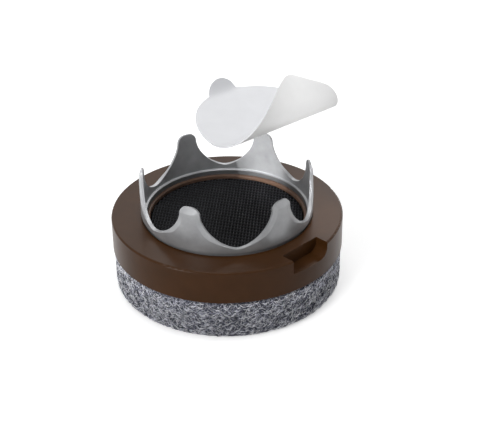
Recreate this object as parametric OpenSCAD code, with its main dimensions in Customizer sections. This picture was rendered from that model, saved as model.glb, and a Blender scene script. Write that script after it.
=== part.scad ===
// Furniture slider: a felt disc under a round plastic housing that carries a steel ring of claws
// and a sticky grip pad, with the pad's release liner peeled off and curling above it.
// Origin on the floor under the middle of the felt, +Z up, sizes in millimetres.

/* [Felt] */
// Diameter of the felt disc at its widest
felt_d = 26.4; // [20:0.1:40]
// Thickness of the felt disc
felt_h = 4.8; // [2:0.1:8]
// Radius of the felt's top edge
felt_edge_r = 0.35; // [0.1:0.05:0.8]
// Radius of the felt's bottom edge, which is worn rounder
felt_foot_r = 0.95; // [0.1:0.05:1.1]
// Thickness of the adhesive film that holds the felt
felt_glue_h = 0.2; // [0.1:0.05:0.4]
// How far that film stops short of the felt's edge
felt_glue_inset = 0.3; // [0.1:0.05:1]

/* [Housing] */
// How far the housing's wall stands out past the felt's widest part
rim_over = 0.25; // [0:0.05:1]
// Height of the housing
housing_h = 4; // [3.6:0.1:6]
// Radius of the housing's top edge
housing_top_r = 0.22; // [0.1:0.02:0.4]
// Radius of the housing's bottom edge
housing_foot_r = 0.15; // [0.05:0.05:0.3]
// Thickness of the housing's floor under the grip pad
housing_floor_h = 2.2; // [1.6:0.1:2.4]
// Thickness of the housing under the claws' groove
groove_floor_h = 1.4; // [0.8:0.1:2]
// Width of the lip between the pad and the claws' groove
lip_w = 0.33; // [0.25:0.01:0.6]
// How far the lip's top lies under the housing's top
lip_drop = 0.35; // [0.2:0.05:0.5]
// Radius of the lip's inner edge
lip_edge_r = 0.18; // [0.05:0.01:0.2]
// Width and depth of the slope at the groove's mouth
mouth_slope = 0.25; // [0.1:0.01:0.4]

/* [Pry notch] */
// Width of the pry notch
notch_w = 5.5; // [3:0.1:8]
// Depth of the notch into the rim, from the housing's wall
notch_in = 1.97; // [1:0.01:2.4]
// Depth of the notch from the housing's top
notch_h = 1.65; // [0.8:0.05:2.2]
// Radius of the notch floor's corner, at the end that points back
notch_corner_r = 1.1; // [0.2:0.05:1.3]
// Direction of the notch, in degrees from +X
notch_turn = -46; // [-180:1:180]

/* [Claw ring] */
// Thickness of the claw ring's steel sheet
sheet_t = 0.45; // [0.3:0.01:0.6]
// Height of the claw tips above the housing's top
claw_h = 5.6; // [4:0.1:8]
// Height of the valleys' lowest points above the housing's top
valley_h = 0.82; // [0.7:0.02:1.5]
// Number of claws
claw_count = 6; // [4:1:7]
// Direction of the first claw before the claws bunch, in degrees from +X
claw_turn = 3.5; // [-30:0.5:30]
// How far the claws bunch towards one side, in degrees
claw_bunch = 4.5; // [0:0.5:8]
// Direction in which the bunching pulls the claws, in degrees from +X
claw_bunch_turn = -47; // [-180:1:180]
// Half the width of a claw at its tip
tip_half_w = 1.24; // [1.1:0.02:1.5]
// Radius of the claw tips' corners
tip_r = 1; // [0.3:0.01:1.05]
// Height of the sloping face that sharpens each tip from outside
tip_bevel_h = 0.8; // [0.3:0.05:1]
// Thickness of the sheet that this slope leaves at the tip
tip_edge_t = 0.22; // [0.1:0.01:0.28]
// Fullness of the valleys: 2 is an ellipse, less is nearer to a V
valley_power = 1.65; // [1.3:0.05:2]
// How far the ring steps out above the lip
shoulder_out = 0.24; // [0.1:0.01:0.3]
// Height of the middle of that step above the housing's top
shoulder_h = 0.27; // [0.2:0.01:0.35]
// Height of the step itself
shoulder_rise = 0.3; // [0.2:0.02:0.36]

/* [Grip pad] */
// Diameter of the grip pad
pad_d = 17.8; // [14:0.1:20]
// Thickness of the grip pad
pad_h = 1; // [0.6:0.05:1.1]
// Thickness of the adhesive film under the pad
pad_glue_h = 0.1; // [0.05:0.05:0.15]
// Radius of the pad's edges
pad_edge_r = 0.08; // [0.02:0.02:0.2]

/* [Release liner] */
// Thickness of the liner
liner_t = 0.14; // [0.1:0.01:0.3]
// How far the liner reaches past the pad's edge
liner_over = 0; // [-0.5:0.05:1]
// Radius of the liner's pull tab
tab_r = 2.15; // [1.5:0.05:2.8]
// How far the middle of the tab lies inside the liner's edge
tab_in = 0.7; // [0:0.05:1]
// Direction of the tab on the liner, in degrees from the curl's axis
tab_turn = 266; // [240:1:300]
// How far inside the liner's edge the tab starts to bend up
tab_bend_in = 0.7; // [0.2:0.05:1]
// Radius of the tab's bend
tab_bend_r = 1; // [0.6:0.05:1.4]
// Angle through which the tab is bent up
tab_bend = 57; // [0:1:80]
// Radius of the curl at the liner's middle
curl_r = 3.3; // [2.6:0.1:5]
// Where the curl starts, measured from the liner's middle
curl_start = -0.5; // [-3:0.1:4]
// How much tighter the curl gets per millimetre along its axis
curl_taper = 0.22; // [0:0.01:0.22]
// Height of the liner's middle above the claw tips
liner_lift = 4.9; // [4:0.1:20]
// How far the liner's middle hangs from the slider's axis along X
liner_x = 5.5; // [-10:0.1:10]
// How far the liner's middle hangs from the slider's axis along Y
liner_y = 0.6; // [-10:0.1:10]
// Direction of the curl's axis, in degrees from +X
curl_turn = 38.5; // [0:0.5:360]
// Dip of the curl's axis, in degrees
curl_dip = 3.8; // [-15:0.1:15]
// Tilt of the flat part about the curl's axis, in degrees
liner_tilt = 7.6; // [-20:0.1:20]

/* [Clearances] */
// Gap around the grip pad
pad_gap = 0.05; // [0.02:0.01:0.2]
// Gap on each side of the claw ring in its groove
groove_gap = 0.02; // [0.01:0.01:0.04]

/* [Hidden] */
$fn = 96;

// Heights of the faces that pieces share
housing_z = felt_h + felt_glue_h;
top_z = housing_z + housing_h;
pad_floor_z = housing_z + housing_floor_h;
pad_z = pad_floor_z + pad_glue_h;
lip_z = top_z - lip_drop;
groove_z = housing_z + groove_floor_h;
tip_z = top_z + claw_h;
valley_z = top_z + valley_h;
shoulder_z = top_z + shoulder_h;

// The housing's diameter follows the felt's
housing_d = felt_d + 2 * rim_over;

// Radii from the pad outwards
recess_r = pad_d / 2 + pad_gap;
lip_r = recess_r + lip_w;
skirt_in_r = lip_r + groove_gap;
skirt_out_r = skirt_in_r + sheet_t;
groove_r = skirt_out_r + groove_gap;
wall_in_r = skirt_in_r + shoulder_out;
wall_out_r = wall_in_r + sheet_t;
wall_mid_r = wall_in_r + sheet_t / 2;
liner_r = pad_d / 2 + liner_over;

// Fineness of the curves that are drawn point by point
step_points = 6;
valley_points = 22;
corner_points = 6;
liner_rings = 8;
liner_rim_points = 60;
tab_points = 14;
// How far a cutting shape reaches past what it cuts
past = 0.6;
// How far the corners' curves run on above the claw tips, so that they meet the crest at an angle
crest = 0.02;

// A flat disc with soft edges, standing on z = 0
module soft_disc(r, h, top_edge, foot_edge) {
    rotate_extrude() {
        square([r - foot_edge, foot_edge]);
        translate([0, foot_edge]) square([r, h - top_edge - foot_edge]);
        translate([0, h - top_edge]) square([r - top_edge, top_edge]);
        translate([r - foot_edge, foot_edge]) circle(foot_edge);
        translate([r - top_edge, h - top_edge]) circle(top_edge);
    }
}

module felt_pad() {
    color([0.42, 0.43, 0.46]) soft_disc(felt_d / 2, felt_h, felt_edge_r, felt_foot_r);
}

module felt_adhesive() {
    color([0.27, 0.27, 0.26]) translate([0, 0, felt_h])
        cylinder(r = felt_d / 2 - felt_glue_inset, h = felt_glue_h);
}

// Half section of the housing's body: the outer wall with its two rounded edges
module housing_section() {
    r = housing_d / 2;
    union() {
        translate([0, housing_z + housing_foot_r])
            square([r, housing_h - housing_foot_r - housing_top_r]);
        translate([0, housing_z]) square([r - housing_foot_r, housing_foot_r]);
        translate([0, top_z - housing_top_r]) square([r - housing_top_r, housing_top_r]);
        translate([r - housing_foot_r, housing_z + housing_foot_r]) circle(housing_foot_r);
        translate([r - housing_top_r, top_z - housing_top_r]) circle(housing_top_r);
    }
}

// What is taken out of that section: the pad's recess, the space over the lip, the groove and its mouth
module housing_hollows() {
    translate([0, pad_floor_z]) square([recess_r, housing_h]);
    translate([0, lip_z]) square([groove_r, housing_h]);
    translate([lip_r, groove_z]) square([groove_r - lip_r, housing_h]);
    polygon([[groove_r - mouth_slope, top_z - mouth_slope], [groove_r, top_z - mouth_slope],
        [groove_r + mouth_slope, top_z], [groove_r - mouth_slope, top_z]]);
    // the lip's rounded inner edge
    difference() {
        translate([recess_r - lip_edge_r, lip_z - lip_edge_r]) square([2 * lip_edge_r, 2 * lip_edge_r]);
        translate([recess_r + lip_edge_r, lip_z - lip_edge_r]) circle(lip_edge_r);
    }
}

// The pry notch as a bar that points outwards, with the floor rounded at one end
module notch_bar() {
    back_r = housing_d / 2 - notch_in;
    rotate([0, 0, notch_turn]) translate([back_r, 0, top_z - notch_h]) rotate([90, 0, 90])
        linear_extrude(height = notch_in + past) {
            translate([-notch_w / 2, notch_corner_r]) square([notch_w, notch_h]);
            translate([-notch_w / 2, 0]) square([notch_w - notch_corner_r, notch_h]);
            translate([notch_w / 2 - notch_corner_r, notch_corner_r]) circle(notch_corner_r);
        }
}

module housing() {
    color([0.25, 0.18, 0.14]) difference() {
        rotate_extrude() difference() {
            housing_section();
            housing_hollows();
        }
        notch_bar();
    }
}

// Direction of a claw: even steps, pulled towards one side
function claw_angle(i) = let (even = claw_turn + i * 360 / claw_count)
    even + claw_bunch * cos(even - claw_bunch_turn);

// Half section of the claw ring before the valleys are cut: skirt, step, wall and sharpened top
function step_curve(r) = [for (i = [0 : step_points]) let (k = i / step_points)
    [r + shoulder_out * (1 - cos(180 * k)) / 2, shoulder_z + shoulder_rise * (k - 0.5)]];

function reversed(list) = [for (i = [len(list) - 1 : -1 : 0]) list[i]];

module ring_section() {
    polygon(concat([[skirt_in_r, groove_z]], step_curve(skirt_in_r),
        [[wall_in_r, tip_z], [wall_in_r + tip_edge_t, tip_z], [wall_out_r, tip_z - tip_bevel_h]],
        reversed(step_curve(skirt_out_r)), [[skirt_out_r, groove_z]]));
}

// Right half of a valley's outline as [distance from the valley's middle along the sheet, height]:
// a curve from the valley's lowest point up to the claw's side, then the claw tip's rounded corner
function valley_half(half_w) = let (rise = tip_z + crest - tip_r - valley_z, e = 2 / valley_power) concat(
    [for (i = [0 : valley_points]) let (a = 90 * i / valley_points)
        [half_w * pow(sin(a), e), valley_z + rise * (1 - pow(cos(a), e))]],
    [for (i = [1 : corner_points]) let (a = 90 * i / corner_points)
        [half_w + tip_r * (1 - cos(a)), tip_z + crest - tip_r * (1 - sin(a))]],
    [[half_w + tip_r, tip_z + past]]);

// Cuts the valley between the claw directions a and b
module valley_cutter(a, b) {
    half = valley_half((b - a) / 2 * PI / 180 * wall_mid_r - tip_half_w);
    right = [for (p = half) [wall_mid_r * sin(p[0] / wall_mid_r * 180 / PI), p[1]]];
    left = [for (i = [len(right) - 1 : -1 : 1]) [-right[i][0], right[i][1]]];
    rotate([0, 0, (a + b) / 2]) rotate([90, 0, 90])
        linear_extrude(height = wall_out_r + past) polygon(concat(left, right));
}

module crown_ring() {
    color([0.55, 0.56, 0.58]) difference() {
        rotate_extrude() ring_section();
        for (i = [0 : claw_count - 1])
            valley_cutter(claw_angle(i), i < claw_count - 1 ? claw_angle(i + 1) : claw_angle(0) + 360);
    }
}

module grip_adhesive() {
    color([0.16, 0.16, 0.16]) translate([0, 0, pad_floor_z])
        cylinder(r = pad_d / 2 - pad_edge_r, h = pad_glue_h);
}

module grip_pad() {
    color([0.1, 0.1, 0.1]) translate([0, 0, pad_z])
        soft_disc(pad_d / 2, pad_h, pad_edge_r, pad_edge_r);
}

// The liner's outline, flat, as [along the curl's axis, across it]: a disc with a round tab
tab_far = liner_r - tab_in;
tab_meet = acos((tab_far * tab_far + liner_r * liner_r - tab_r * tab_r) / (2 * tab_far * liner_r));
tab_side = atan2(liner_r * sin(tab_meet), liner_r * cos(tab_meet) - tab_far);
liner_outline = concat(
    [for (i = [0 : liner_rim_points - 1])
        let (a = tab_turn + tab_meet + i * (360 - 2 * tab_meet) / liner_rim_points)
        liner_r * [cos(a), sin(a)]],
    [for (i = [0 : tab_points - 1]) let (a = tab_turn - tab_side + i * 2 * tab_side / tab_points)
        tab_far * [cos(tab_turn), sin(tab_turn)] + tab_r * [cos(a), sin(a)]]);

// The tab's bend: a point w above the sheet, as [along, across, height]
function bend_tab(p, w) = let (
    dir = [cos(tab_turn), sin(tab_turn)],
    out = p * dir - (liner_r - tab_bend_in),
    turn = min(max(out, 0) / tab_bend_r * 180 / PI, tab_bend),
    rest = max(out - tab_bend_r * tab_bend * PI / 180, 0),
    drawn = max(out, 0) - tab_bend_r * sin(turn) - rest * cos(turn) + w * sin(turn),
    flat = p - drawn * dir)
    [flat[0], flat[1], tab_bend_r * (1 - cos(turn)) + rest * sin(turn) + w * cos(turn)];

// The curl: what lies past its start winds up round a roll that tapers along its axis
function curl(p, w) = let (
    r = curl_r - curl_taper * p[0],
    turn = max(p[1] - curl_start, 0) / r * 180 / PI,
    bent = bend_tab(p, w))
    turn > 0 ? [p[0], curl_start + (r - w) * sin(turn), r - (r - w) * cos(turn)] : bent;

function liner_layer(w) = concat([curl([0, 0], w)],
    [for (k = [1 : liner_rings]) for (p = liner_outline) curl(p * k / liner_rings, w)]);

// Triangles of one layer, wound upwards, from point number start on
function layer_faces(start) = let (n = len(liner_outline)) concat(
    [for (i = [0 : n - 1]) [start, start + 1 + i, start + 1 + (i + 1) % n]],
    [for (k = [0 : liner_rings - 2]) for (i = [0 : n - 1])
        let (a = start + 1 + k * n + i, b = start + 1 + k * n + (i + 1) % n)
        each [[a, a + n, b + n], [a, b + n, b]]]);

module liner_sheet() {
    n = len(liner_outline);
    count = 1 + n * liner_rings;
    edge = count - n;
    low = layer_faces(0);
    high = [for (f = layer_faces(count)) [f[0], f[2], f[1]]];
    rim = [for (i = [0 : n - 1]) let (a = edge + i, b = edge + (i + 1) % n)
        each [[a, a + count, b + count], [a, b + count, b]]];
    polyhedron(concat(liner_layer(0), liner_layer(liner_t)), concat(low, high, rim));
}

module release_liner() {
    color([0.87, 0.87, 0.88]) translate([liner_x, liner_y, tip_z + liner_lift])
        rotate([0, 0, curl_turn]) rotate([0, curl_dip, 0]) rotate([liner_tilt, 0, 0])
            mirror([0, 1, 0]) liner_sheet();
}

felt_pad();
felt_adhesive();
housing();
crown_ring();
grip_adhesive();
grip_pad();
release_liner();
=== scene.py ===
import math

import bpy
import numpy as np
from mathutils import Matrix, Vector


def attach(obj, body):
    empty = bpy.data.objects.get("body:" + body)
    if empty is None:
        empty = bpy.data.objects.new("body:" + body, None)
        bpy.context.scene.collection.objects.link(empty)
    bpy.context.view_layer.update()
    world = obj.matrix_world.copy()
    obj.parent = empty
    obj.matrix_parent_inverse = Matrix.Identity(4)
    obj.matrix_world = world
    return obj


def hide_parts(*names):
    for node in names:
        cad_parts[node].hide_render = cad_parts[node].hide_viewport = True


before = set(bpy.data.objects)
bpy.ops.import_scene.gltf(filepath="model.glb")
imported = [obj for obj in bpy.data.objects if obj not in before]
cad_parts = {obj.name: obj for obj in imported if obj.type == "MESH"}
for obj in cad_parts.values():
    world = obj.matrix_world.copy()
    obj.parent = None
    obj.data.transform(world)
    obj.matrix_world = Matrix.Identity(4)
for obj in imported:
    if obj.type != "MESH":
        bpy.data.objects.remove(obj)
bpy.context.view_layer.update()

# Furniture slider: felt disc, moulded housing, steel claw ring, sticky grip pad and its peeled liner.
# Sizes are in millimetres, as in the part's source, and MM turns them into metres.
MM = 0.001
TAU = 2 * math.pi
QUARTER = math.pi / 2
chance = np.random.default_rng(7)

# Felt disc, with its rounded top edge and foot
FELT_R, FELT_H, FELT_TOP_R, FELT_FOOT_R = 13.2, 4.8, 0.35, 0.95
# Heights above the floor: the housing's top, the claws' tips and valleys, and the foot of the ring's skirt
TOP_Z, TIP_Z, VALLEY_Z, GROOVE_Z = 9.0, 14.6, 9.82, 6.4
# Claw ring: the skirt's inner radius, and the step out to the claws' wall
SKIRT_R, STEP_OUT, STEP_Z, STEP_RISE = 9.30, 0.24, 9.27, 0.12
SHEET_T = 0.45
WALL_R = SKIRT_R + STEP_OUT
MID_R = WALL_R + SHEET_T / 2
# The claws' places, in degrees: the first one's, and how far they bunch up towards BUNCH_TURN
CLAWS, CLAW_TURN, BUNCH, BUNCH_TURN = 6, 3.5, 4.5, -47.0
# A claw's outline: half its tip's width, the tip's corners, and the shape and rise of its sides
TIP_HALF, TIP_R, FULLNESS, CREST = 1.24, 1.0, 1.65, 0.02
# The bevel along the ring's edge: its width and its cut into the sheet at the valleys,
# then what the claws' sides and their tips add to each
BEVEL_WIDTH = (0.03, 0.5, 0.27)
BEVEL_CUT = (0.02, 0.18, 0.04)
# Grip pad, and the lip round it
PAD_R, PAD_Z, PAD_TOP, LIP_R = 8.9, 7.3, 8.3, 9.27
# The pad's grid: the turn of the way across each family of ridges, their pitches and their height
GRID_TURNS, GRID_PITCHES, RIDGE_H = np.radians([-5.7, 72.6]), (0.361, 0.619), 0.2
# Release liner: its disc and its tab, whose far end bends up
LINER_R, LINER_T = 8.9, 0.14
TAB_R, TAB_TURN, TAB_FAR = 2.15, math.radians(266), 8.2
TAB_BEND_R, TAB_BEND, TAB_START = 1.0, math.radians(57), 8.2
# Its curl: radius in the middle, where it starts, and how much tighter it gets for each millimetre along
CURL_R, CURL_START, CURL_TAPER = 3.3, -0.5, 0.22
# Its place, and its turns about X, Y and Z in degrees
LINER_AT, LINER_TURNS = (5.5, 0.6, TIP_Z + 4.9), (7.6, 3.8, 38.5)
# Felt fibres: how many, and how far in the felt's side lies to make room for them
FIBRES, FIBRE_ROOM = 15000, 0.1

SHARP_EDGE = math.radians(28)
SHARP_PAPER = math.radians(40)


def smoothstep(low, high, x):
    t = np.clip((np.asarray(x, float) - low) / (high - low), 0, 1)
    return t * t * (3 - 2 * t)


def mesh_piece(name, verts, faces, material, body):
    """A smooth piece from points in millimetres and lists of point numbers."""
    mesh = bpy.data.meshes.new(name)
    mesh.from_pydata([tuple(v) for v in np.asarray(verts) * MM], [], faces)
    mesh.validate()
    mesh.update()
    mesh.shade_smooth()
    mesh.materials.append(material)
    piece = bpy.data.objects.new(name, mesh)
    bpy.context.scene.collection.objects.link(piece)
    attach(piece, body)
    return piece


def band(start, n, flip=False):
    """Faces between a closed row of n points, from number start on, and the row after it."""
    faces = []
    for i in range(n):
        a, b = start + i, start + (i + 1) % n
        face = (a, b, b + n, a + n)
        faces.append(face[::-1] if flip else face)
    return faces


# Materials

class Shader:
    """A node material: values go straight on the shader's sockets, patterns are linked to them."""

    def __init__(self, name, **values):
        self.material = bpy.data.materials.new(name)
        self.material.use_nodes = True
        self.tree = self.material.node_tree
        self.bsdf = self.tree.nodes["Principled BSDF"]
        self.output = self.tree.nodes["Material Output"]
        for key, value in values.items():
            self.bsdf.inputs[key.replace("_", " ")].default_value = value

    def put(self, socket, value):
        """Links the value if it is another node's socket, and sets it otherwise."""
        if isinstance(value, bpy.types.NodeSocket):
            self.tree.links.new(value, socket)
        else:
            socket.default_value = value

    def node(self, kind, inputs=None, **settings):
        n = self.tree.nodes.new(kind)
        for key, value in settings.items():
            setattr(n, key, value)
        for key, value in (inputs or {}).items():
            self.put(n.inputs[key], value)
        return n

    def place(self, scale=(1, 1, 1)):
        at = self.node("ShaderNodeTexCoord").outputs["Object"]
        return self.node("ShaderNodeMapping", {"Vector": at, "Scale": scale}).outputs["Vector"]

    def noise(self, scale, detail=4.0, stretch=(1, 1, 1), rough=0.55):
        """Noise whose grains are about 1 / scale millimetres across."""
        at = self.place([c / MM for c in stretch])
        return self.node("ShaderNodeTexNoise", {"Vector": at, "Scale": scale, "Detail": detail,
                                                "Roughness": rough}).outputs["Fac"]

    def height(self):
        """Millimetres above the floor."""
        return self.node("ShaderNodeSeparateXYZ", {"Vector": self.place([1 / MM] * 3)}).outputs["Z"]

    def far_out(self):
        """Millimetres from the slider's axis."""
        at = self.place((1 / MM, 1 / MM, 0))
        return self.node("ShaderNodeVectorMath", {0: at}, operation="LENGTH").outputs["Value"]

    def felt_fade(self):
        """The felt darkens from its top edge to the middle of its side."""
        return self.spread(self.height(), FELT_H / 2, FELT_H - 0.4, 0.95, 1.3)

    def ramp(self, factor, *stops):
        n = self.node("ShaderNodeValToRGB", {"Fac": factor})
        while len(n.color_ramp.elements) < len(stops):
            n.color_ramp.elements.new(0.5)
        for stop, (at, colour) in zip(n.color_ramp.elements, stops):
            stop.position = at
            stop.color = (*colour, 1)
        return n.outputs["Color"]

    def spread(self, factor, low, high, to_low, to_high):
        return self.node("ShaderNodeMapRange", {"Value": factor, "From Min": low, "From Max": high,
                                                "To Min": to_low, "To Max": to_high}).outputs["Result"]

    def mix(self, factor, a, b, blend):
        # sockets 0, 6 and 7 are the factor and the two colours, and 2 is the mixed colour
        n = self.node("ShaderNodeMix", {0: factor}, data_type="RGBA", blend_type=blend)
        self.put(n.inputs[6], a)
        self.put(n.inputs[7], b)
        return n.outputs[2]

    def drive(self, socket, source):
        self.tree.links.new(source, self.bsdf.inputs[socket])

    def bump(self, height, strength, depth):
        """Relief on the finished material, with its depth in millimetres."""
        inputs = {"Height": height, "Strength": strength, "Distance": depth * MM}
        self.drive("Normal", self.node("ShaderNodeBump", inputs).outputs["Normal"])
        return self.material


def srgb(*levels):
    """A colour given as it shows on a screen, 0 to 255, in the linear values that shaders take."""
    return tuple(((c / 255 + 0.055) / 1.055) ** 2.4 if c > 10 else c / 255 / 12.92 for c in levels)


def plastic_material():
    s = Shader("moulded_brown_plastic", Roughness=0.3, IOR=1.2)
    clouds = s.ramp(s.noise(0.45, 4), (0.3, srgb(57, 34, 14)), (0.7, srgb(63, 38, 17)))
    # painted light: the lip round the pad is painted paler than the rest of the plastic, in place of the
    # light that falls on it
    painted_lit_lip = s.spread(s.far_out(), LIP_R, LIP_R + 0.03, 1, 0)
    s.drive("Base Color", s.mix(painted_lit_lip, clouds, (*srgb(86, 67, 56), 1), "MIX"))
    return s.bump(s.noise(0.6, 2), 0.15, 0.006)


def steel_material():
    s = Shader("stamped_steel", Metallic=0.6, Roughness=0.4, IOR=1.5)
    clouds = s.ramp(s.noise(0.35, 5), (0.3, srgb(142, 143, 145)), (0.7, srgb(168, 169, 171)))
    # painted light and shade: the steel is painted brighter at the back left than at the front right, in
    # place of how the light falls on the claws
    turn, painted_lit_side, painted_shaded_side = math.radians(-40), 1.18, 0.76
    side = (math.cos(turn) / MM, math.sin(turn) / MM, 0)
    at = s.node("ShaderNodeTexCoord").outputs["Object"]
    across = s.node("ShaderNodeVectorMath", {0: at, 1: side}, operation="DOT_PRODUCT").outputs["Value"]
    clouds = s.mix(1, clouds, s.spread(across, -WALL_R, WALL_R, painted_lit_side, painted_shaded_side), "MULTIPLY")
    # painted shade: the skirt's inner side below the ledge is painted darker, standing in for the shade in
    # the recess
    recess_shade = 0.4
    inner = s.spread(s.far_out(), WALL_R + 0.04, WALL_R + 0.12, recess_shade, 1)
    above = s.spread(s.height(), TOP_Z + 0.1, TOP_Z + 0.3, recess_shade, 1)
    skirt = s.node("ShaderNodeMath", {0: inner, 1: above}, operation="MAXIMUM").outputs[0]
    s.drive("Base Color", s.mix(1, clouds, skirt, "MULTIPLY"))
    return s.bump(s.noise(16, 3, (1, 1, 0.4)), 0.2, 0.006)


def pad_material():
    s = Shader("sticky_black_rubber", Roughness=0.5, IOR=1.2)
    # painted shade: the pits between the ridges are painted black, standing in for the shade in them
    ridges = s.spread(s.height(), PAD_TOP - 0.13, PAD_TOP - 0.02, 0, 1)
    pit_shade = s.ramp(ridges, (0, srgb(2, 2, 3)), (1, srgb(38, 39, 42)))
    dust = s.ramp(s.noise(1.2, 3), (0.3, (0.8, 0.8, 0.8)), (0.7, (1, 1, 1)))
    s.drive("Base Color", s.mix(1, pit_shade, dust, "MULTIPLY"))
    return s.bump(s.noise(20, 2), 0.2, 0.006)


def film_material(name, low, high):
    s = Shader(name, Roughness=0.55)
    s.drive("Base Color", s.ramp(s.noise(3, 4), (0.3, low), (0.7, high)))
    return s.bump(s.noise(9, 3), 0.5, 0.03)


def felt_material():
    s = Shader("needled_felt", Roughness=0.95)
    tufts = s.ramp(s.noise(5.5, 6, rough=0.7), (0.4, srgb(26, 27, 34)),
                   (0.55, srgb(84, 86, 98)), (0.75, srgb(190, 192, 204)))
    s.drive("Base Color", s.mix(1, tufts, s.felt_fade(), "MULTIPLY"))
    return s.bump(s.noise(7, 5), 0.9, 0.12)


def fibre_material():
    s = Shader("felt_fibres", Roughness=0.7)
    each = s.node("ShaderNodeNewGeometry").outputs["Random Per Island"]
    fibres = s.ramp(each, (0.0, srgb(28, 29, 37)), (0.3, srgb(72, 74, 86)), (0.45, srgb(196, 197, 212)),
                    (0.65, srgb(242, 243, 250)), (1.0, srgb(253, 253, 255)))
    s.drive("Base Color", s.mix(1, fibres, s.felt_fade(), "MULTIPLY"))
    return s.material


def paper_material(name, low, high, roughness):
    s = Shader(name, Roughness=roughness, IOR=1.4)
    s.drive("Base Color", s.ramp(s.noise(0.35, 5), (0.3, low), (0.7, high)))
    return s.bump(s.noise(5, 4), 0.12, 0.01)


# Camera, light and floor

def place_camera():
    """Seen from 32 degrees above the horizon, 150 mm away, with a slight roll."""
    rise, roll, distance, aim_z = math.radians(31.99), -0.02037, 150, 4.5
    back = Vector((0, -math.cos(rise), math.sin(rise)))
    up = Vector((0, math.sin(rise), math.cos(rise)))
    side = Vector((1, 0, 0)) * math.cos(roll) + up * math.sin(roll)
    top = up * math.cos(roll) - Vector((1, 0, 0)) * math.sin(roll)
    data = bpy.data.cameras.new("camera")
    data.sensor_width = 36
    data.lens = 95.085
    data.shift_x, data.shift_y = 0.02579, 0.04313
    data.clip_start = 0.01
    camera = bpy.data.objects.new("camera", data)
    camera.matrix_world = Matrix.Translation((Vector((0, 0, aim_z)) + back * distance) * MM) @ \
        Matrix((side, top, back)).transposed().to_4x4()
    bpy.context.scene.collection.objects.link(camera)
    bpy.context.scene.camera = camera


def hang(data, at, aim):
    """Puts a light at one point, facing another."""
    light = bpy.data.objects.new(data.name, data)
    at, aim = Vector(at) * MM, Vector(aim) * MM
    light.matrix_world = Matrix.Translation(at) @ (at - aim).to_track_quat("Z", "Y").to_matrix().to_4x4()
    bpy.context.scene.collection.objects.link(light)


def lamp(name, at, size, power):
    """A soft panel that faces the slider."""
    data = bpy.data.lights.new(name, "AREA")
    data.shape = "RECTANGLE"
    data.size, data.size_y = size[0] * MM, size[1] * MM
    data.energy = power
    hang(data, at, (0, 0, 8))


def spot(name, at, aim, cone, power):
    """A narrow soft-edged lamp, with its cone in degrees."""
    data = bpy.data.lights.new(name, "SPOT")
    data.energy = power
    data.spot_size = math.radians(cone)
    data.spot_blend = 1
    data.shadow_soft_size = 4 * MM
    hang(data, at, aim)


def plain_rays(tree):
    """1 for the rays that see the background itself: the camera's, reflected and transmitted ones."""
    path = tree.nodes.new("ShaderNodeLightPath")
    seen = path.outputs["Is Camera Ray"]
    for ray in ("Is Glossy Ray", "Is Transmission Ray"):
        either = tree.nodes.new("ShaderNodeMath")
        either.operation = "MAXIMUM"
        tree.links.new(seen, either.inputs[0])
        tree.links.new(path.outputs[ray], either.inputs[1])
        seen = either.outputs[0]
    return seen


def set_world(level):
    """A white background that lights the scene at a lower level."""
    world = bpy.data.worlds.new("studio")
    bpy.context.scene.world = world
    world.use_nodes = True
    tree = world.node_tree
    tree.nodes.clear()
    mix = tree.nodes.new("ShaderNodeMixShader")
    out = tree.nodes.new("ShaderNodeOutputWorld")
    for socket, strength in ((1, level), (2, 1)):
        glow = tree.nodes.new("ShaderNodeBackground")
        glow.inputs["Color"].default_value = (1, 1, 1, 1)
        glow.inputs["Strength"].default_value = strength
        tree.links.new(glow.outputs[0], mix.inputs[socket])
    tree.links.new(plain_rays(tree), mix.inputs[0])
    tree.links.new(mix.outputs[0], out.inputs["Surface"])


def lay_floor():
    """A pale floor that takes the slider's shadow and turns white further out."""
    s = Shader("pale_floor", Roughness=0.9)
    s.bsdf.inputs["Base Color"].default_value = (0.8, 0.8, 0.8, 1)
    s.bsdf.inputs["Specular IOR Level"].default_value = 0.1
    glow = s.node("ShaderNodeEmission", {"Color": (1, 1, 1, 1)})
    level = s.spread(s.far_out(), 22, 90, 0.5, 1)
    share = s.node("ShaderNodeMath", {0: plain_rays(s.tree), 1: level}, operation="MULTIPLY")
    s.tree.links.new(share.outputs[0], glow.inputs["Strength"])
    add = s.node("ShaderNodeAddShader", {0: s.bsdf.outputs[0], 1: glow.outputs[0]})
    s.tree.links.new(add.outputs[0], s.output.inputs["Surface"])
    mesh = bpy.data.meshes.new("floor")
    far = 2000 * MM
    mesh.from_pydata([(-far, -far, 0), (far, -far, 0), (far, far, 0), (-far, far, 0)], [], [(0, 1, 2, 3)])
    mesh.materials.append(s.material)
    floor = bpy.data.objects.new("floor", mesh)
    bpy.context.scene.collection.objects.link(floor)


# Claw ring

def claw_angle(i):
    even = CLAW_TURN + i * 360 / CLAWS
    return even + BUNCH * math.cos(math.radians(even - BUNCH_TURN))


def claw_outline():
    """The ring's top edge, once round: rows of angle in radians and height."""
    rows = []
    for i in range(CLAWS):
        a, b = claw_angle(i), claw_angle((i + 1) % CLAWS) + (360 if i == CLAWS - 1 else 0)
        half = math.radians(b - a) / 2 * MID_R - TIP_HALF
        rise, e = TIP_Z + CREST - TIP_R - VALLEY_Z, 2 / FULLNESS
        # half a valley, from its bottom up a claw's side, round the corner and on to the flat tip
        right = [(half * math.sin(t) ** e, VALLEY_Z + rise * (1 - math.cos(t) ** e))
                 for t in np.linspace(0, QUARTER, 61)]
        right += [(half + TIP_R * (1 - math.cos(t)), TIP_Z - TIP_R * (1 - math.sin(t)))
                  for t in np.linspace(0, QUARTER, 13)[1:]]
        right += [(half + TIP_R + k, TIP_Z) for k in (0.1, 0.2)]
        left = [(-s, z) for s, z in right[:0:-1]]
        middle = math.radians(a + b) / 2
        rows += [(middle + s / MID_R, z) for s, z in left + right]
    return np.array(rows)


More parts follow.
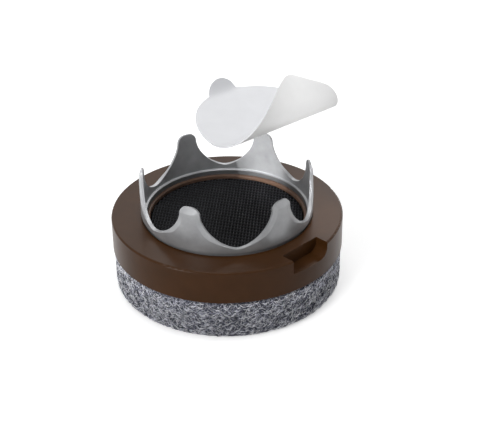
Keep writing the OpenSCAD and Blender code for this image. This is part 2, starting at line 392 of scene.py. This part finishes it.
def ring_radius(z):
    """Radius of the ring's inner face at a height."""
    return SKIRT_R + STEP_OUT * (1 - np.cos(math.pi * np.clip((z - STEP_Z) / STEP_RISE + 0.5, 0, 1))) / 2


def ring_points(angle, z, out):
    z = np.broadcast_to(z, angle.shape)
    r = ring_radius(z) + out
    return np.stack([r * np.cos(angle), r * np.sin(angle), z], 1)


def crisp_rows(mesh, per_row, rows):
    """Marks the edges that run along the given rows of points as sharp."""
    ends = np.empty(len(mesh.edges) * 2, int)
    mesh.edges.foreach_get("vertices", ends)
    row = ends.reshape(-1, 2) // per_row
    sharp = np.zeros(len(mesh.edges), bool)
    mesh.edges.foreach_get("use_edge_sharp", sharp)
    mesh.edges.foreach_set("use_edge_sharp", sharp | ((row[:, 0] == row[:, 1]) & np.isin(row[:, 0], rows)))


def build_ring(material):
    edge = claw_outline()
    angle, z = edge[:, 0], edge[:, 1]
    n = len(edge)
    # the way into the sheet from each point of the edge
    along = np.stack([(np.roll(angle, -1) - np.roll(angle, 1) + math.pi) % TAU - math.pi,
                      np.roll(z, -1) - np.roll(z, 1)], 1)
    along[:, 0] *= MID_R
    along /= np.linalg.norm(along, axis=1)[:, None]
    inward = np.stack([along[:, 1], -along[:, 0]], 1)
    # the bevel widens from the valleys up the claws' sides, and again at the tips
    share = (z - VALLEY_Z) / (TIP_Z - VALLEY_Z)
    tip = smoothstep(0.9, 1, share)
    width = BEVEL_WIDTH[0] + BEVEL_WIDTH[1] * smoothstep(0.03, 0.4, share) + BEVEL_WIDTH[2] * tip
    left = SHEET_T - BEVEL_CUT[0] - BEVEL_CUT[1] * smoothstep(0.03, 0.25, share) - BEVEL_CUT[2] * tip
    out_angle = angle + inward[:, 0] * width / MID_R
    out_z = z + inward[:, 1] * width
    # level rows below the claws, close together over the step
    low_step, high_step = STEP_Z - STEP_RISE / 2, STEP_Z + STEP_RISE / 2
    claw_foot = TOP_Z + 0.5
    levels = [GROOVE_Z, TOP_Z - 0.4, TOP_Z, low_step - 0.03, *np.linspace(low_step, high_step, 9),
              high_step + 0.03, claw_foot]
    steps = np.linspace(0, 1, 13)[1:]
    # outer face, upwards
    rows = [ring_points(angle, h, SHEET_T) for h in levels]
    rows += [ring_points(angle + (out_angle - angle) * t, claw_foot + (out_z - claw_foot) * t, SHEET_T)
             for t in steps]
    # bevel, then the cut edge
    rows.append(ring_points(angle, z, left))
    rows.append(ring_points(angle, z, 0))
    # inner face, downwards
    rows += [ring_points(angle, claw_foot + (z - claw_foot) * t, 0) for t in steps[-2::-1]]
    rows += [ring_points(angle, h, 0) for h in levels[::-1]]
    count = len(rows)
    faces = [f for r in range(count - 1) for f in band(r * n, n)]
    last = (count - 1) * n
    faces += [(last + i, last + (i + 1) % n, (i + 1) % n, i) for i in range(n)]
    ring = mesh_piece("claw_crown", np.vstack(rows), faces, material, "slider")
    ring.data.set_sharp_from_angle(angle=SHARP_EDGE)
    crease = len(levels) + len(steps) - 1
    crisp_rows(ring.data, n, (crease, crease + 1, crease + 2))
    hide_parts("crown_ring")


# Grip pad

def build_pad(material):
    # the mesh follows the two families of ridges, some cells to a pitch
    cells, edge_drop, near = 6, 0.08, 0.9
    across = np.stack([np.cos(GRID_TURNS), np.sin(GRID_TURNS)], 1) / np.array(GRID_PITCHES)[:, None]
    step = np.linalg.inv(across) / cells
    cell = min(GRID_PITCHES) / cells
    half = int(PAD_R * 1.05 / cell)
    line = np.arange(-half, half + 1)

    def ridge(k):
        return smoothstep(0.4, 1.0, np.abs(((k % cells) / cells - 0.5) * 2))
    i, j = np.meshgrid(line, line, indexing="ij")
    x, y = step[0, 0] * i + step[0, 1] * j, step[1, 0] * i + step[1, 1] * j
    far = np.hypot(x, y)
    z = PAD_TOP - RIDGE_H + RIDGE_H * np.maximum(ridge(i), ridge(j))
    z = z - edge_drop * smoothstep(PAD_R - 0.2, PAD_R, far)
    # points next to the edge are pulled on to it, and those beyond are dropped
    pull = np.where(far > PAD_R - cell * near, PAD_R / np.maximum(far, 1e-9), 1)
    keep = (far < PAD_R + cell * near).ravel()
    points = np.stack([x * pull, y * pull, z], 2).reshape(-1, 3)[keep]
    number = np.full(keep.size, -1)
    number[keep] = np.arange(keep.sum())
    grid = number.reshape(len(line), len(line))
    a, b, c, d = grid[:-1, :-1], grid[1:, :-1], grid[1:, 1:], grid[:-1, 1:]
    whole = (a >= 0) & (b >= 0) & (c >= 0) & (d >= 0)
    faces = np.stack([a[whole], b[whole], c[whole], d[whole]], 1).tolist()
    # the side wall and the underside
    rim = 240
    turn = np.arange(rim) * TAU / rim
    start = len(points)
    wall = [np.stack([PAD_R * np.cos(turn), PAD_R * np.sin(turn), np.full(rim, h)], 1)
            for h in (PAD_TOP - edge_drop, PAD_Z)]
    faces += band(start, rim, flip=True)
    faces.append([start + rim + k for k in range(rim)][::-1])
    pad = mesh_piece("grip_face", np.vstack([points] + wall), faces, material, "slider")
    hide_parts("grip_pad")


# Release liner

def liner_outline(rim, tab):
    """The flat liner's edge, with so many points round the disc and so many round the tab."""
    meet = math.acos((TAB_FAR ** 2 + LINER_R ** 2 - TAB_R ** 2) / (2 * TAB_FAR * LINER_R))
    side = math.atan2(LINER_R * math.sin(meet), LINER_R * math.cos(meet) - TAB_FAR)
    a = TAB_TURN + meet + np.arange(rim) * (TAU - 2 * meet) / rim
    b = TAB_TURN - side + np.arange(tab) * 2 * side / tab
    centre = TAB_FAR * np.array([math.cos(TAB_TURN), math.sin(TAB_TURN)])
    return np.vstack([LINER_R * np.stack([np.cos(a), np.sin(a)], 1),
                      centre + TAB_R * np.stack([np.cos(b), np.sin(b)], 1)])


def curl(p, w):
    """The flat liner's points, w above its lower face, bent as the tab and the curl bend them."""
    x, y = p[:, 0], p[:, 1]
    way = np.array([math.cos(TAB_TURN), math.sin(TAB_TURN)])
    out = p @ way - TAB_START
    turn = np.clip(np.maximum(out, 0) / TAB_BEND_R, 0, TAB_BEND)
    rest = np.maximum(out - TAB_BEND_R * TAB_BEND, 0)
    drawn = np.maximum(out, 0) - TAB_BEND_R * np.sin(turn) - rest * np.cos(turn) + w * np.sin(turn)
    flat = p - drawn[:, None] * way
    tab = np.stack([flat[:, 0], flat[:, 1],
                    TAB_BEND_R * (1 - np.cos(turn)) + rest * np.sin(turn) + w * np.cos(turn)], 1)
    r = CURL_R - CURL_TAPER * x
    turn = np.maximum(y - CURL_START, 0) / r
    roll = np.stack([x, CURL_START + (r - w) * np.sin(turn), r - (r - w) * np.cos(turn)], 1)
    return np.where((turn > 0)[:, None], roll, tab)


def build_liner(face, back):
    rings = 26
    outline = liner_outline(220, 44)
    n = len(outline)
    flat = np.vstack([[[0, 0]]] + [outline * k / rings for k in range(1, rings + 1)])
    count = len(flat)

    def skin(start, flip):
        faces = [(start, start + 1 + i, start + 1 + (i + 1) % n) for i in range(n)]
        faces += [(a + i, a + n + i, a + n + (i + 1) % n, a + (i + 1) % n)
                  for a in range(start + 1, start + 1 + (rings - 1) * n, n) for i in range(n)]
        return [f[::-1] for f in faces] if flip else faces
    edge = count - n
    faces = skin(0, False) + skin(count, True)
    faces += [(edge + i, edge + count + i, edge + count + (i + 1) % n, edge + (i + 1) % n) for i in range(n)]
    points = np.vstack([curl(flat, 0.0), curl(flat, LINER_T)])
    points[:, 1] *= -1
    pose = Matrix.Translation(LINER_AT)
    for axis in (2, 1, 0):
        pose = pose @ Matrix.Rotation(math.radians(LINER_TURNS[axis]), 4, "XYZ"[axis])
    pose = np.array(pose)
    points = points @ pose[:3, :3].T + pose[:3, 3]
    liner = mesh_piece("liner_paper", points, faces, face, "liner")
    liner.data.materials.append(back)
    for k, corners in enumerate(faces):
        liner.data.polygons[k].material_index = 1 if max(corners) < count else 0
    liner.data.set_sharp_from_angle(angle=SHARP_PAPER)
    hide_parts("release_liner")


# Felt

def felt_radius(z):
    """Radius of the felt's side at a height, with its rounded edges."""
    low = np.clip(FELT_FOOT_R - z, 0, FELT_FOOT_R)
    high = np.clip(z - FELT_H + FELT_TOP_R, 0, FELT_TOP_R)
    return FELT_R - FELT_FOOT_R + np.sqrt(FELT_FOOT_R ** 2 - low ** 2) - \
        FELT_TOP_R + np.sqrt(FELT_TOP_R ** 2 - high ** 2)


def build_felt_body(material):
    round_n, levels, flat = 360, 24, 30
    turn = np.arange(round_n) * TAU / round_n
    foot, top = FELT_R - FELT_FOOT_R, FELT_R - FELT_TOP_R
    # radius and height, from the middle of the underside to the middle of the top
    profile = [(k / flat * foot, 0.0) for k in range(1, flat)]
    profile += [(foot + FELT_FOOT_R * math.sin(t), FELT_FOOT_R * (1 - math.cos(t)))
                for t in np.linspace(0, QUARTER, 10)]
    profile += [(FELT_R, h) for h in np.linspace(FELT_FOOT_R, FELT_H - FELT_TOP_R, levels)[1:-1]]
    profile += [(top + FELT_TOP_R * math.cos(t), FELT_H - FELT_TOP_R * (1 - math.sin(t)))
                for t in np.linspace(0, QUARTER, 6)]
    profile += [(k / flat * top, FELT_H) for k in range(flat - 1, 0, -1)]
    rough, rough_from, rough_full, side_from = 0.1, 10.5, 12.3, 12.8
    rows = []
    for r, z in profile:
        wobble = rough * (chance.random(round_n) - 0.5) * smoothstep(rough_from, rough_full, r)
        far = r + (wobble - FIBRE_ROOM * (r > side_from))
        rows.append(np.stack([far * np.cos(turn), far * np.sin(turn), np.full(round_n, z)], 1))
    last = (len(rows) - 1) * round_n
    points = np.vstack(rows + [np.array([[0, 0, 0], [0, 0, FELT_H]])])
    bottom, crown = len(points) - 2, len(points) - 1
    faces = [f for start in range(0, last, round_n) for f in band(start, round_n)]
    faces += [(bottom, (i + 1) % round_n, i) for i in range(round_n)]
    faces += [(crown, last + i, last + (i + 1) % round_n) for i in range(round_n)]
    body = mesh_piece("felt_body", points, faces, material, "slider")
    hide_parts("felt_pad")


def build_fibres(material):
    """Short bent three-sided strands over the felt's side."""
    parts, corners, margin = 4, 3, 0.04
    at_turn = chance.random(FIBRES) * TAU
    at_z = 0.1 + chance.random(FIBRES) * (FELT_H - 0.2)
    length = 0.4 + 0.8 * chance.random(FIBRES)
    head = (chance.random(FIBRES) - 0.5) * math.pi * 1.9
    bend = chance.normal(0, 0.7, FIBRES)
    lift = 0.02 + 0.2 * chance.random(FIBRES) ** 2
    thick = 0.025 + 0.02 * chance.random(FIBRES)
    points = []
    for s in np.linspace(-0.5, 0.5, parts):
        way = head + bend * s
        here = at_turn + length * s * np.cos(way) / FELT_R
        z = np.clip(at_z + length * s * np.sin(way), margin, FELT_H - margin)
        # the middle stands off the felt and the ends sink into it, and both ends are slimmer
        r = felt_radius(z) - FIBRE_ROOM + lift * (1 - 3 * s * s) - 0.06 * (s * 2) ** 2
        slim = thick * (1 - 0.7 * abs(s) * 2)
        for corner in range(corners):
            t = corner * TAU / corners
            rr, zz = r + slim * math.cos(t), z + slim * math.sin(t)
            points.append(np.stack([rr * np.cos(here), rr * np.sin(here), zz], 1))
    points = np.stack(points, 1).reshape(-1, 3)
    per = parts * corners
    one = [f for k in range(parts - 1) for f in band(k * corners, corners)]
    one += [(2, 1, 0), (per - 3, per - 2, per - 1)]
    faces = [tuple(f + m * per for f in face) for m in range(FIBRES) for face in one]
    mesh_piece("felt_fibres", points, faces, material, "slider")


place_camera()
set_world(0.2)
lay_floor()
lamp("key", (-234, -279, 210), (160, 160), 1.0)
lamp("side", (364, 0, 210), (160, 160), 0.13)
lamp("overhead", (0, 7, 420), (200, 200), 0.58)
lamp("skyline", (0, 420, 300), (520, 170), 0.34)
lamp("window", (78, 420, 310), (84, 100), 0.13)
spot("claw_accent", (-165, -162, 62), (4.5, 8.4, 11.8), 1.25, 22)
spot("flap_accent", (249, -62, 36), (10, -0.5, 23), 4.2, 0.95)
spot("edge_accent", (84, -194, 132), (10.0, -1.6, 11.6), 1.0, 19)

build_ring(steel_material())
build_pad(pad_material())
build_liner(paper_material("liner_face", srgb(221, 222, 225), srgb(226, 227, 230), 0.45),
            paper_material("liner_back", srgb(237, 237, 237), srgb(242, 242, 242), 0.35))
build_felt_body(felt_material())
build_fibres(fibre_material())

# The other nodes keep their shapes and get their finishes
finishes = {
    "housing": plastic_material(),
    "felt_adhesive": film_material("felt_film", srgb(52, 52, 50), srgb(72, 72, 69)),
    "grip_adhesive": film_material("pad_film", srgb(18, 18, 18), srgb(28, 28, 28)),
}
for name, material in finishes.items():
    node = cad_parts[name]
    node.data.materials.clear()
    node.data.materials.append(material)
    node.data.set_sharp_from_angle(angle=SHARP_EDGE)

bpy.context.scene.view_settings.view_transform = "Standard"
